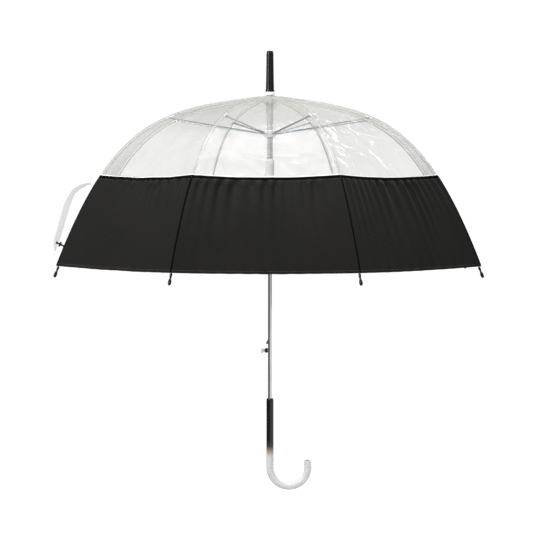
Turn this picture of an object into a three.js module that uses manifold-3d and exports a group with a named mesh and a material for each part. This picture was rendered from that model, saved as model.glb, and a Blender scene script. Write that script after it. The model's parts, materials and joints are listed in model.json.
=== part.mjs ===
// A dome umbrella with an auto-open runner: eight sprung ribs, a clear film dome, an opaque
// fabric band below it, a steel shaft and a cast hook handle. Millimetres, +Z up, shown open.
// Heights are measured from the lowest point of the hook; the whole assembly is then lowered
// so that the frame's origin is the middle of the grip, on the shaft's axis.
import * as THREE from "three";
import { mergeVertices } from "three/addons/utils/BufferGeometryUtils.js";
import Module from "manifold-3d";

const wasm = await Module();
wasm.setup();

// Driving dimensions
const RIBS = 8;
const STEP_ANGLE = (2 * Math.PI) / RIBS;
const GRIP_HEIGHT = 112; // height of the frame's origin
const CLEARANCE = 0.3; // between pieces that touch on the real umbrella

// Rib line of the canopy, radius against height: crown, two handles of the curve, hem
const CROWN_EDGE = [8, 768.4];
const CROWN_HANDLE = [216, 740];
const HEM_HANDLE = [310, 730];
const HEM_CORNER = [424, 448];
const BAND_TOP = 612; // height where the clear dome meets the fabric band
const SKIN = 1.2; // thickness of the canopy solids
const RIB_RADIUS = 1.5;
const RIB_DEPTH = SKIN + 1.3 + RIB_RADIUS; // rib centre line below the outer skin
const FLEX_GAP = 2.5; // half the gap between the two rods of a rib
const RIB_EYE = [10, 765]; // hinge of each rib in the crown

const STRETCHER_PIVOT_RADIUS = 205;
const STRETCHER_WIDTH = 2.6;
const STRETCHER_HEIGHT = 2.2;
const STRETCHER_END_RADIUS = 12.2;
const FORK_GAP = 4.2;
const FORK_WIDTH = 6.8;
const FORK_HEIGHT = 2.6;
const FORK_END = 1.6; // the cheeks reach this far past the pivot
const FORK_LENGTH = 16;
const FORK_NECK = 8.5; // from the pivot to where the two cheeks join

const SHAFT_RADIUS = 4;
const SHAFT_BORE = 3.2;
const SHAFT_BOTTOM = 120;
const SHAFT_TOP = 835;

const HANDLE_RADIUS = 7;
const HOOK_RADIUS = 37; // centre line of the hook
const HANDLE_TOP = 179;
const HOOK_LIP = 14; // straight end of the hook above the bend's centre

const RING_HEIGHT = 695;
const RING_RADIUS = 12.5;
const CORE_RADIUS = 5; // the ring's long neck, which the spring and the sleeve go over
const SLEEVE_TOP = 644.5;
const SLEEVE_BOTTOM = 594;
const SLEEVE_RADIUS = 8.5;
const SPRING_TURNS = 8;
const SPRING_WIRE = 0.5;

const CATCH_FACE = 287; // flat underside of the catch
const CATCH_HEIGHT = 8.4;
const CATCH_WIDTH = 2.6;
const CATCH_REACH = 3.6; // how far the catch stands out of the shaft
const BUTTON_HEIGHT = 274;
const BUTTON_TRAVEL = 3;

const STRAP_RIB = 4; // index of the rib that carries the tie strap
const STRAP_WIDTH = 18;
const STRAP_THICKNESS = 1;
const STRAP_OFFSET = -16; // sideways from the rib
const STRAP_ROUTE = [
  [351, 598], [364, 596], [384, 585], [397, 563], [406, 536], [415, 506], [421, 488], [423, 472],
  [430, 458], [439, 449],
]; // radius against height
const SNAP_AT = [412.6, 486];
const SNAP_TILT = 64; // degrees that the snap's axis leans out from the vertical

const ROUND = 24; // sides of a turned piece

const colours = {
  film: { color: 0xe9ebea, roughness: 0.15, metalness: 0 },
  fabric: { color: 0x262524, roughness: 0.85, metalness: 0 },
  steel: { color: 0xb9bcbf, roughness: 0.25, metalness: 1 },
  fibreglass: { color: 0xdfe0dc, roughness: 0.4, metalness: 0 },
  whitePlastic: { color: 0xe4e6e8, roughness: 0.4, metalness: 0 },
  blackPlastic: { color: 0x141414, roughness: 0.35, metalness: 0 },
  acrylic: { color: 0xdedcdc, roughness: 0.1, metalness: 0 },
};

// Solids ---------------------------------------------------------------------------------

function solid(geometry) {
  const bare = geometry.index ? geometry.toNonIndexed() : geometry.clone();
  bare.deleteAttribute("normal");
  bare.deleteAttribute("uv");
  const merged = mergeVertices(bare, 1e-4);
  const mesh = new wasm.Mesh({
    numProp: 3,
    vertProperties: merged.attributes.position.array,
    triVerts: new Uint32Array(merged.index.array),
  });
  return new wasm.Manifold(mesh);
}

function geometryOf(manifold) {
  const mesh = manifold.getMesh();
  const geometry = new THREE.BufferGeometry();
  geometry.setAttribute("position", new THREE.BufferAttribute(mesh.vertProperties, 3));
  geometry.setIndex(new THREE.BufferAttribute(mesh.triVerts, 1));
  geometry.computeVertexNormals();
  return geometry;
}

function named(name, shape, colour) {
  const geometry = shape.isBufferGeometry ? shape : geometryOf(shape);
  const mesh = new THREE.Mesh(geometry, new THREE.MeshStandardMaterial(colours[colour]));
  mesh.name = name;
  return mesh;
}

// A turned solid about +Z. The profile is a closed loop of [radius, height] corners.
function turned(profile, sides = ROUND) {
  const loop = profile.map(([r, z]) => new THREE.Vector2(r, z));
  if (THREE.ShapeUtils.area(loop) < 0) loop.reverse();
  loop.push(loop[0].clone());
  const geometry = new THREE.LatheGeometry(loop, sides);
  geometry.rotateX(Math.PI / 2);
  return solid(geometry);
}

function block(sizeX, sizeY, sizeZ, x, y, z) {
  const geometry = new THREE.BoxGeometry(sizeX, sizeY, sizeZ);
  geometry.translate(x, y, z);
  return solid(geometry);
}

// A flat outline in the X-Z plane, centred on y = 0 and extruded to the given width.
function plate(outline, width) {
  const shape = new THREE.Shape(outline.map(([x, z]) => new THREE.Vector2(x, z)));
  const geometry = new THREE.ExtrudeGeometry(shape, { depth: width, bevelEnabled: false });
  geometry.translate(0, 0, -width / 2);
  geometry.rotateX(Math.PI / 2);
  return solid(geometry);
}

// A round rod along a curve.
function rod(curve, radius, sides, steps) {
  const section = new THREE.Shape();
  section.absarc(0, 0, radius, 0, 2 * Math.PI);
  const geometry = new THREE.ExtrudeGeometry(section, {
    steps,
    curveSegments: sides / 2,
    extrudePath: curve,
  });
  return solid(geometry);
}

function turn(manifold, index) {
  return manifold.rotate([0, 0, (index * 360) / RIBS]);
}

// The canopy's rib line ---------------------------------------------------------------------

const ribLine = new THREE.CubicBezierCurve(
  new THREE.Vector2(...CROWN_EDGE),
  new THREE.Vector2(...CROWN_HANDLE),
  new THREE.Vector2(...HEM_HANDLE),
  new THREE.Vector2(...HEM_CORNER),
);

// The point of the rib line at parameter t, moved in by a depth under the skin.
function under(t, depth) {
  const at = ribLine.getPoint(t);
  const along = ribLine.getTangent(t);
  return [at.x + along.y * depth, at.y - along.x * depth];
}

// The parameter at which one of the rib line's coordinates reaches a value.
function parameterAt(axis, value, depth = 0) {
  const rising = axis === 0;
  let low = 0;
  let high = 1;
  for (let i = 0; i < 40; i++) {
    const middle = (low + high) / 2;
    const here = under(middle, depth)[axis];
    const before = rising ? here < value : here > value;
    if (before) low = middle;
    else high = middle;
  }
  return low;
}

function between(from, to, count) {
  return Array.from({ length: count + 1 }, (_, i) => from + ((to - from) * i) / count);
}

const bandStart = parameterAt(1, BAND_TOP);
const flexLength = FLEX_GAP / ribLine.getLength();
const BAND_GAP = 0.9 / ribLine.getLength(); // share of the rib line left open at the seam

// One eighth of the canopy, centred on a rib: flat from rib to rib, so its section is a
// shallow V whose two edges are the middles of the panels on each side.
function canopySection(fromT, toT, rows) {
  const outer = between(fromT, toT, rows).map((t) => under(t, 0));
  const inner = between(toT, fromT, rows).map((t) => under(t, SKIN));
  const dome = turned([...outer, ...inner], RIBS);
  const reach = 700;
  const tip = CLEARANCE / Math.sin(STEP_ANGLE / 2);
  const half = (reach - tip) * Math.tan(STEP_ANGLE / 2);
  const wedge = new THREE.Shape([
    new THREE.Vector2(tip, 0),
    new THREE.Vector2(reach, -half),
    new THREE.Vector2(reach, half),
  ]);
  const prism = new THREE.ExtrudeGeometry(wedge, { depth: 1000, bevelEnabled: false });
  return dome.intersect(solid(prism));
}

// The frame of one rib, built along +X --------------------------------------------------------

function ribRod(fromT, toT, steps) {
  const points = between(fromT, toT, steps).map((t) => under(t, RIB_DEPTH));
  const curve = new THREE.CatmullRomCurve3(points.map(([r, z]) => new THREE.Vector3(r, 0, z)));
  return rod(curve, RIB_RADIUS, 8, steps);
}

function ribTip() {
  const along = ribLine.getTangent(1);
  const [r, z] = under(1, RIB_DEPTH);
  const profile = [
    [0, 0], [1.9, 0], [2.2, 2], [2.2, 7], [1.4, 9], [1.5, 15], [2.6, 17.5], [2.6, 21], [1.6, 22.6], [0, 23],
  ];
  const loop = profile.map(([x, y]) => new THREE.Vector2(x, y));
  const geometry = new THREE.LatheGeometry(loop, 10);
  const direction = new THREE.Vector3(along.x, 0, along.y);
  const turnTo = new THREE.Quaternion().setFromUnitVectors(new THREE.Vector3(0, 1, 0), direction);
  geometry.applyQuaternion(turnTo);
  geometry.translate(r + direction.x * CLEARANCE, 0, z + direction.z * CLEARANCE);
  return solid(geometry);
}

// A bar from the rib to the runner's ring, with a fork whose cheeks straddle the rib.
function stretcher() {
  const [pivotR, pivotZ] = under(
    parameterAt(0, STRETCHER_PIVOT_RADIUS, RIB_DEPTH), RIB_DEPTH);
  const run = pivotR - STRETCHER_END_RADIUS;
  const drop = pivotZ - RING_HEIGHT;
  const length = Math.hypot(run, drop);
  const bar = block(length - FORK_NECK, STRETCHER_WIDTH, STRETCHER_HEIGHT,
    -(length + FORK_NECK) / 2, 0, 0);
  const cheeks = block(FORK_LENGTH, FORK_WIDTH, FORK_HEIGHT, FORK_END - FORK_LENGTH / 2, 0, 0);
  const slotEnd = FORK_NECK + 3;
  const slot = block(slotEnd + 6, FORK_GAP, 10, (6 - slotEnd) / 2, 0, 0);
  const tilt = (-Math.atan2(drop, run) * 180) / Math.PI;
  return bar.add(cheeks.subtract(slot)).rotate([0, tilt, 0]).translate([pivotR, 0, pivotZ]);
}

// The pole ------------------------------------------------------------------------------------

function shaftTube() {
  const tube = turned([
    [SHAFT_BORE, SHAFT_BOTTOM], [SHAFT_RADIUS, SHAFT_BOTTOM],
    [SHAFT_RADIUS, SHAFT_TOP], [SHAFT_BORE, SHAFT_TOP],
  ], 20);
  const catchWindow = block(8, 3.2, CATCH_HEIGHT + 2, -5, 0, CATCH_FACE + CATCH_HEIGHT / 2);
  const buttonHole = block(8, 3.6, 4.6, -5, 0, BUTTON_HEIGHT);
  return tube.subtract(catchWindow).subtract(buttonHole);
}

function handle() {
  const bendHeight = HANDLE_RADIUS + HOOK_RADIUS;
  const corner = (x, z) => new THREE.Vector3(x, 0, z);
  const bend = between(Math.PI, 2 * Math.PI, 14).map((angle) =>
    corner(HOOK_RADIUS + HOOK_RADIUS * Math.cos(angle), bendHeight + HOOK_RADIUS * Math.sin(angle)));
  const straight = between(HANDLE_TOP, bendHeight, 3).slice(0, 3).map((z) => corner(0, z));
  const points = [...straight, ...bend];
  points.push(corner(2 * HOOK_RADIUS - 1, bendHeight + HOOK_LIP));
  const hook = rod(new THREE.CatmullRomCurve3(points, false, "centripetal"), HANDLE_RADIUS, 16, 44);
  const socket = turned([
    [0, SHAFT_BOTTOM - 1], [SHAFT_RADIUS + CLEARANCE, SHAFT_BOTTOM - 1],
    [SHAFT_RADIUS + CLEARANCE, HANDLE_TOP + 1], [0, HANDLE_TOP + 1],
  ], 20);
  return hook.subtract(socket);
}

function ferrule() {
  const bore = SHAFT_RADIUS + CLEARANCE;
  return turned([
    [bore, 776], [8.6, 776], [8.8, 778], [7.9, 782], [6.9, 848], [6.2, 853.5], [4.8, 855],
    [0, 855], [0, SHAFT_TOP + 1], [bore, SHAFT_TOP + 1],
  ]);
}

// A spool: the notched rib holder, a washer above the film, and the long stop tube below.
function crown() {
  const bore = SHAFT_RADIUS + CLEARANCE;
  const spool = turned([
    [bore, 703], [5.9, 703], [7.2, 750], [9, 753], [12.5, 753], [12.5, 766], [6.6, 766],
    [6.6, 769.8], [8.8, 769.8], [9.2, 771], [9.2, 774], [8.6, 775.6], [bore, 775.6],
  ]);
  return notched(spool, 7.6, 759.5, 20, 4.4);
}

// Cuts one radial slot for each rib or stretcher into a ring.
function notched(ring, innerRadius, height, depth, width) {
  const outerRadius = RING_RADIUS + 3;
  const middle = (innerRadius + outerRadius) / 2;
  const slot = block(outerRadius - innerRadius, width, depth, middle, 0, height);
  for (let i = 0; i < RIBS; i++) ring = ring.subtract(turn(slot, i + 0.5));
  return ring;
}

// The runner -----------------------------------------------------------------------------------

function runnerRing() {
  const bore = SHAFT_RADIUS + CLEARANCE;
  const ring = turned([
    [bore, SLEEVE_TOP - 12], [CORE_RADIUS, SLEEVE_TOP - 12], [CORE_RADIUS, RING_HEIGHT - 7],
    [9, RING_HEIGHT - 6], [RING_RADIUS, RING_HEIGHT - 5], [RING_RADIUS, RING_HEIGHT + 5],
    [9, RING_HEIGHT + 7.4], [bore, RING_HEIGHT + 7.4],
  ]);
  return notched(ring, 9.8, RING_HEIGHT, 16, 3.8);
}

function runnerSpring() {
  const radius = CORE_RADIUS + SPRING_WIRE + CLEARANCE;
  const bottom = SLEEVE_TOP + 1.2;
  const rise = RING_HEIGHT - 8 - bottom;
  const turnSteps = 10;
  const points = between(0, SPRING_TURNS, SPRING_TURNS * turnSteps).map((n) => new THREE.Vector3(
    radius * Math.cos(2 * Math.PI * n),
    radius * Math.sin(2 * Math.PI * n),
    bottom + (rise * n) / SPRING_TURNS,
  ));
  return rod(new THREE.CatmullRomCurve3(points), SPRING_WIRE, 6, SPRING_TURNS * turnSteps);
}

function runnerSleeve() {
  const bore = CORE_RADIUS + CLEARANCE;
  const flange = SLEEVE_RADIUS + 1.5;
  const sleeve = turned([
    [bore, SLEEVE_BOTTOM], [SLEEVE_RADIUS, SLEEVE_BOTTOM], [flange, SLEEVE_BOTTOM + 1.5],
    [flange, SLEEVE_BOTTOM + 3], [SLEEVE_RADIUS, SLEEVE_BOTTOM + 5],
    [SLEEVE_RADIUS, SLEEVE_TOP], [bore, SLEEVE_TOP],
  ]);
  const windowHeight = CATCH_HEIGHT + 2;
  const windowBottom = SLEEVE_BOTTOM + 2.6;
  const window = block(12, 4, windowHeight, -9, 0, windowBottom + windowHeight / 2);
  return sleeve.subtract(window);
}

// Catch and button, on the -X side of the shaft ------------------------------------------------

function shaftCatch() {
  const face = -SHAFT_RADIUS - CATCH_REACH;
  return plate([
    [-1, CATCH_FACE], [face, CATCH_FACE], [face, CATCH_FACE + 1.2],
    [-SHAFT_RADIUS, CATCH_FACE + CATCH_HEIGHT], [-1, CATCH_FACE + CATCH_HEIGHT],
  ], CATCH_WIDTH);
}

function buttonHousing() {
  const inner = -SHAFT_RADIUS - 0.4;
  const body = block(5.6, 9, 8.4, inner - 2.8, 0, BUTTON_HEIGHT);
  const passage = block(20, 4.2, 5.2, inner, 0, BUTTON_HEIGHT);
  return body.subtract(passage);
}

function releaseButton() {
  const capInner = -SHAFT_RADIUS - 6 - BUTTON_TRAVEL;
  const stem = block(12, 3, 4, capInner + 5.5, 0, BUTTON_HEIGHT);
  const cap = turned([[0, 0], [4.9, 0], [5.2, 0.8], [5.2, 2.2], [4.2, 3.4], [0, 4]], 20)
    .rotate([0, -90, 0])
    .translate([capInner, 0, BUTTON_HEIGHT]);
  return stem.add(cap);
}

// The tie strap, on the band beside one rib ----------------------------------------------------

const strapLine = new THREE.CatmullRomCurve3(STRAP_ROUTE.map(([r, z]) => new THREE.Vector3(r, 0, z)));

function tieStrap() {
  const half = STRAP_THICKNESS / 2;
  const frames = between(0, 1, 26).map((t) => [strapLine.getPoint(t), strapLine.getTangent(t)]);
  const side = (sign) => frames.map(([at, along]) => [
    at.x - sign * half * along.z, at.z + sign * half * along.x,
  ]);
  return plate([...side(1), ...side(-1).reverse()], STRAP_WIDTH);
}

function strapSnap() {
  const disc = turned([[0, 0], [5, 0], [5, 2.2], [3.5, 3], [0, 3]], 16);
  return disc.rotate([0, SNAP_TILT, 0]).translate([SNAP_AT[0], 0, SNAP_AT[1]]);
}

// Assembly ---------------------------------------------------------------------------------------

const umbrella = new THREE.Group();
umbrella.position.z = -GRIP_HEIGHT;

umbrella.add(
  named("shaft_tube", shaftTube(), "steel"),
  named("handle", handle(), "acrylic"),
  named("ferrule", ferrule(), "blackPlastic"),
  named("crown", crown(), "whitePlastic"),
  named("runner_ring", runnerRing(), "whitePlastic"),
  named("runner_spring", runnerSpring(), "steel"),
  named("runner_sleeve", runnerSleeve(), "whitePlastic"),
  named("shaft_catch", shaftCatch(), "steel"),
  named("button_housing", buttonHousing(), "blackPlastic"),
  named("release_button", releaseButton(), "acrylic"),
);

const eye = parameterAt(0, RIB_EYE[0], RIB_DEPTH);
const shapes = [
  ["rib", geometryOf(ribRod(eye, bandStart - flexLength, 16)), "fibreglass"],
  ["rib_end", geometryOf(ribRod(bandStart + flexLength, 1, 5)), "fibreglass"],
  ["rib_tip", geometryOf(ribTip()), "blackPlastic"],
  ["stretcher", geometryOf(stretcher()), "steel"],
  ["clear_panel", geometryOf(canopySection(0, bandStart, 14)), "film"],
  ["band_panel", geometryOf(canopySection(bandStart + BAND_GAP, 1, 4)), "fabric"],
];

for (let i = 0; i < RIBS; i++) {
  const arm = new THREE.Group();
  arm.rotation.z = (i + 0.5) * STEP_ANGLE;
  for (const [name, geometry, colour] of shapes) {
    arm.add(named(`${name}_${i + 1}`, geometry, colour));
  }
  if (i === STRAP_RIB) {
    const strap = named("tie_strap", tieStrap(), "film");
    const snap = named("strap_snap", strapSnap(), "blackPlastic");
    strap.position.y = STRAP_OFFSET;
    snap.position.y = STRAP_OFFSET;
    arm.add(strap, snap);
  }
  umbrella.add(arm);
}

export default umbrella;
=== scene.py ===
"""Looks for the dome umbrella, built around the CAD frame, in metres.

Clear film dome, black fabric band, springy ribs, chromed shaft and hook handle."""
import json
import math

import bpy
import numpy as np
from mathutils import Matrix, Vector


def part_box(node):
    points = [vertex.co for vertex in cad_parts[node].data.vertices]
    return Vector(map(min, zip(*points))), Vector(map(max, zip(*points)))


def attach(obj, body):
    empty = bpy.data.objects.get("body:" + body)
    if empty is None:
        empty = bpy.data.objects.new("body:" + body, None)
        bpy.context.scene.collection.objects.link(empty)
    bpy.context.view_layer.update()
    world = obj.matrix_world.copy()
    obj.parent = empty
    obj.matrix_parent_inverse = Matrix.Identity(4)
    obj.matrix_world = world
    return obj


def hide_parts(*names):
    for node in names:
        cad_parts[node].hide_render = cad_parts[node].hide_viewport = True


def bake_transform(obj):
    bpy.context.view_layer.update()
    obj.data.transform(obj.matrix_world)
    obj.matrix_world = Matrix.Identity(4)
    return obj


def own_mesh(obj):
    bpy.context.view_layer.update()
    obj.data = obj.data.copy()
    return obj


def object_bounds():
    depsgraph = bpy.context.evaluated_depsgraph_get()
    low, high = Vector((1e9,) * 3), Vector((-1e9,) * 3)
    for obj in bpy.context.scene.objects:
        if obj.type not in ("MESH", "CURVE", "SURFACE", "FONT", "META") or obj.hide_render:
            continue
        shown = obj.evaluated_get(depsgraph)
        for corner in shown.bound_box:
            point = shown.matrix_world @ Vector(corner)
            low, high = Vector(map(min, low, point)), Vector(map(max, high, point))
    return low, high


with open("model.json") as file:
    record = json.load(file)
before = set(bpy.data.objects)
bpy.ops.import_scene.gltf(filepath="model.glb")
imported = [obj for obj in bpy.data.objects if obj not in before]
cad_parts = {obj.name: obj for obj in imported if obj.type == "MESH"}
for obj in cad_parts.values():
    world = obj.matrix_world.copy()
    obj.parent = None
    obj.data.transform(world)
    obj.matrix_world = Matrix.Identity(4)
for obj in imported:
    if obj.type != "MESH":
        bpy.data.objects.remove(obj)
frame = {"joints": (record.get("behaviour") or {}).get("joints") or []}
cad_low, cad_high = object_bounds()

RIBS = 8
HALF_STEP = math.pi / RIBS
MM = 0.001
JOINTS = {j["name"]: j for j in frame["joints"]}


def joint_point(name):
    """(radius, height) of a joint's axis."""
    x, y, z = JOINTS[name]["pos_m"]
    return math.hypot(x, y), z


# The rib line: radius and height of the canopy along a rib, from the crown to the hem.
FILM_LOW, FILM_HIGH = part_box("clear_panel_1")
BAND_LOW, BAND_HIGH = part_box("band_panel_1")
CROWN_EDGE = np.array([8 * MM, FILM_HIGH.z])
HEM_CORNER = np.array([BAND_HIGH.x / math.cos(HALF_STEP), BAND_LOW.z])
CROWN_HANDLE = CROWN_EDGE + (208 * MM, -28.4 * MM)
HEM_HANDLE = HEM_CORNER + (-114 * MM, 282 * MM)
BAND_TOP = BAND_HIGH.z
RIB_DEPTH = 4 * MM  # rib centre line below the outer skin
RIB_RADIUS = 1.5 * MM


def rib_line(t):
    """Points of the rib line at parameters t, as rows of (radius, height)."""
    t = np.atleast_1d(np.asarray(t, float))[:, None]
    return (
        (1 - t) ** 3 * CROWN_EDGE
        + 3 * (1 - t) ** 2 * t * CROWN_HANDLE
        + 3 * (1 - t) * t**2 * HEM_HANDLE
        + t**3 * HEM_CORNER
    )


def rib_tangent(t):
    t = np.atleast_1d(np.asarray(t, float))
    step = 1e-4
    d = rib_line(t + step) - rib_line(t - step)
    return d / np.linalg.norm(d, axis=1)[:, None]


def under(t, depth):
    """The rib line moved in by a depth under the skin."""
    along = rib_tangent(t)
    return rib_line(t) + depth * np.stack([along[:, 1], -along[:, 0]], 1)


def parameter_at(height):
    """The rib line's parameter at a height."""
    t = np.linspace(0, 1, 4001)
    return float(np.interp(-height, -rib_line(t)[:, 1], t))


T_BAND = parameter_at(BAND_TOP)
STRETCHER_RADIUS, STRETCHER_HEIGHT = joint_point("stretcher_hinge_1")
T_STRETCHER = parameter_at(STRETCHER_HEIGHT + RIB_DEPTH)

# Places down the rib line, as its parameter.
BAND_START = T_BAND - 0.006
HEM_SPAN = (T_BAND - 0.0100, T_BAND - 0.0056)  # the film's white edge
BINDING_SPAN = (BAND_START, T_BAND + 0.003)
WELD_SPAN = (0.02, T_BAND - 0.03)
RIDGE_SPAN = (0.02, T_BAND - 0.012)
SEAM_SPAN = (T_BAND + 0.002, 1)
STITCH_ROWS = (1 - 0.0045, T_BAND + 0.006)
RIB_LENGTH = 0.58  # about the rib line's length, to turn a width into a step of its parameter

HEM_ROLL, HEM_DEPTH = 0.8 * MM, 8 * MM
STITCH, STITCH_GAP, THREAD_WIDTH = 2.6 * MM, 1.2 * MM, 0.35 * MM

FADE_LOW, FADE_HIGH = 67 * MM, 101 * MM  # of the handle's dye, above the bottom of the hook

STRAP_RIB = 4
STRAP_WIDTH = 18 * MM
STRAP_CURL = 0.5 * MM
STRAP_OFFSET = -16 * MM  # sideways from the rib
STRAP_ROUTE = [
    (351, 486), (364, 484), (384, 473), (397, 451), (406, 424), (415, 394), (421, 376), (423, 360),
    (430, 346), (439, 337),
]  # radius and height, in millimetres

LENS = 109.1
CAMERA_TARGET = Vector((0, 0, 0.319))
CAMERA_DISTANCE, CAMERA_HEIGHT = 3.18, 0.49
CAMERA_SWING = math.radians(1.2)


# Meshes -------------------------------------------------------------------------------------------


def new_object(name, verts, faces, material, uv=None, smooth=True, normals=None):
    mesh = bpy.data.meshes.new(name)
    mesh.from_pydata([tuple(map(float, v)) for v in verts], [], faces)
    mesh.validate()
    if uv is not None:
        layer = mesh.uv_layers.new(name="UVMap")
        index = np.zeros(len(mesh.loops), np.int32)
        mesh.loops.foreach_get("vertex_index", index)
        layer.data.foreach_set("uv", np.asarray(uv, np.float32)[index].ravel())
    mesh.materials.append(material)
    mesh.polygons.foreach_set("use_smooth", [smooth] * len(mesh.polygons))
    if normals is not None:
        mesh.normals_split_custom_set_from_vertices([tuple(map(float, n)) for n in normals])
    obj = bpy.data.objects.new(name, mesh)
    bpy.context.scene.collection.objects.link(obj)
    return obj


def grid_faces(rows, columns, around=False):
    wide = columns if around else columns - 1
    return [
        (
            r * columns + c,
            r * columns + (c + 1) % columns,
            (r + 1) * columns + (c + 1) % columns,
            (r + 1) * columns + c,
        )
        for r in range(rows - 1)
        for c in range(wide)
    ]


def prism_faces(count):
    """Faces of a prism between two outlines that have this many corners each."""
    faces = [tuple(range(count)), tuple(reversed(range(count, 2 * count)))]
    return faces + [(k, (k + 1) % count, count + (k + 1) % count, count + k) for k in range(count)]


def in_rib_plane(line):
    """Rows of (radius, height) as points in the X-Z plane."""
    return np.stack([line[:, 0], np.zeros(len(line)), line[:, 1]], 1)


def turned(name, profile, material, sides=64):
    """A closed piece turned about +Z from its section's (radius, height) corners."""
    profile = np.asarray(profile, float)
    angle = np.linspace(0, 2 * math.pi, sides, endpoint=False)
    ring = np.stack([np.cos(angle), np.sin(angle)], 1)
    verts = [(r * x, r * y, z) for r, z in profile for x, y in ring]
    faces = grid_faces(len(profile), sides, around=True)
    last = (len(profile) - 1) * sides
    faces += [(last + c, last + (c + 1) % sides, (c + 1) % sides, c) for c in range(sides)]
    return new_object(name, verts, faces, material)


def swept(name, path, section, material, scale=1.0):
    """A section of (out, side) points carried along a path in the X-Z plane; side is +Y.

    scale is the section's size at each point of the path. Both ends are closed."""
    path = np.asarray(path, float)
    section = np.asarray(section, float)
    scale = np.broadcast_to(scale, len(path))[:, None, None]
    along = np.gradient(path, axis=0)
    along /= np.linalg.norm(along, axis=1)[:, None]
    side = np.array([0.0, 1.0, 0.0])
    out = np.cross(along, side)
    offsets = section[None, :, :1] * out[:, None] + section[None, :, 1:] * side
    points = path[:, None] + scale * offsets
    rows, columns = len(path), len(section)
    faces = grid_faces(rows, columns, around=True)
    faces.append(tuple(range(columns)))
    faces.append(tuple(reversed(range((rows - 1) * columns, rows * columns))))
    return new_object(name, points.reshape(-1, 3), faces, material)


def circle(radius, sides=16):
    angle = np.linspace(0, 2 * math.pi, sides, endpoint=False)
    return np.stack([radius * np.cos(angle), radius * np.sin(angle)], 1)


def tube(name, path, radii, material, sides=24):
    """A round bar whose radius may change along its path."""
    return swept(name, path, circle(1.0, sides), material, radii)


def turn_to_rib(obj, angle):
    """Turns a piece built along +X to its rib's direction."""
    c, s = math.cos(angle), math.sin(angle)
    co = np.zeros(len(obj.data.vertices) * 3)
    obj.data.vertices.foreach_get("co", co)
    x, y, z = co.reshape(-1, 3).T
    turned_co = np.stack([c * x - s * y, s * x + c * y, z], 1)
    obj.data.vertices.foreach_set("co", turned_co.ravel())
    obj.data.update()
    return obj


def modify(obj, kind, **settings):
    modifier = obj.modifiers.new(kind.lower(), kind)
    for key, value in settings.items():
        setattr(modifier, key, value)
    return obj


def bevelled(obj, width, segments=3):
    modify(obj, "BEVEL", width=width, segments=segments,
           limit_method="ANGLE", angle_limit=math.radians(35))
    obj.data.polygons.foreach_set("use_smooth", [True] * len(obj.data.polygons))
    modify(obj, "WEIGHTED_NORMAL", keep_sharp=True)
    return obj


def apply_modifiers(obj):
    graph = bpy.context.evaluated_depsgraph_get()
    mesh = bpy.data.meshes.new_from_object(obj.evaluated_get(graph))
    obj.modifiers.clear()
    obj.data = mesh
    return obj


def box_object(name, low, high, material):
    (x0, y0, z0), (x1, y1, z1) = low, high
    verts = [(x, y, z) for x in (x0, x1) for y in (y0, y1) for z in (z0, z1)]
    faces = [(0, 1, 3, 2), (4, 6, 7, 5), (0, 4, 5, 1), (2, 3, 7, 6), (0, 2, 6, 4), (1, 5, 7, 3)]
    return new_object(name, verts, faces, material)


def join(name, *objs):
    """Joins pieces that are moulded as one."""
    verts, faces, base = [], [], 0
    for obj in objs:
        verts += [tuple(v.co) for v in obj.data.vertices]
        faces += [tuple(base + v for v in p.vertices) for p in obj.data.polygons]
        base += len(obj.data.vertices)
    material = objs[0].data.materials[0]
    for obj in objs:
        bpy.data.objects.remove(obj)
    return new_object(name, verts, faces, material)


def cut(obj, *cutters):
    for cutter in cutters:
        modify(obj, "BOOLEAN", operation="DIFFERENCE", solver="EXACT", object=cutter)
    apply_modifiers(obj)
    for cutter in cutters:
        bpy.data.objects.remove(cutter)
    return obj


# Materials ----------------------------------------------------------------------------------------


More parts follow.
